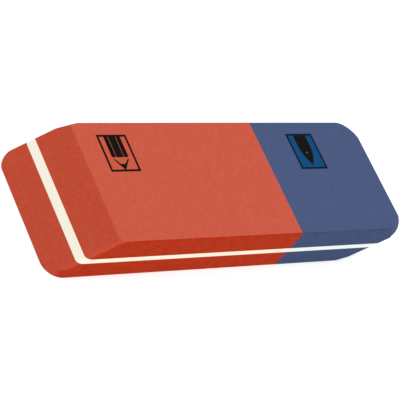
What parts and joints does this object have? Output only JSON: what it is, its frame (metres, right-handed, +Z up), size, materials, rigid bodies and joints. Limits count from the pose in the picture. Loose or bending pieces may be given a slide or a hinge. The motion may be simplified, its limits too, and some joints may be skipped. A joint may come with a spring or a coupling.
{
  "type": "rubber eraser",
  "caption": "Slanted block eraser of soft red and hard blue rubber on both sides of a thin white core, for pencil and for ink.",
  "frame": {"origin": "middle of the block's bounding box, on the surface that it lies on", "axes": "+X along the length towards the blue end, +Y across the block towards its back face, +Z up through the layers"},
  "size_m": [0.06, 0.02, 0.008],
  "materials": {
    "red_rubber": "matte, very fine mottled grain, soft brick red",
    "blue_rubber": "matte, slightly gritty, dull slate blue",
    "white_rubber": "matte, smooth, warm white",
    "black_print": "thin printed ink, matte, near black",
    "blue_print": "thin printed ink, matte, bright blue"
  },
  "bodies": {
    "root": {"red_upper_layer": "red_rubber", "blue_upper_layer": "blue_rubber", "white_core": "white_rubber", "red_lower_layer": "red_rubber", "blue_lower_layer": "blue_rubber"}
  },
  "joints": []
}
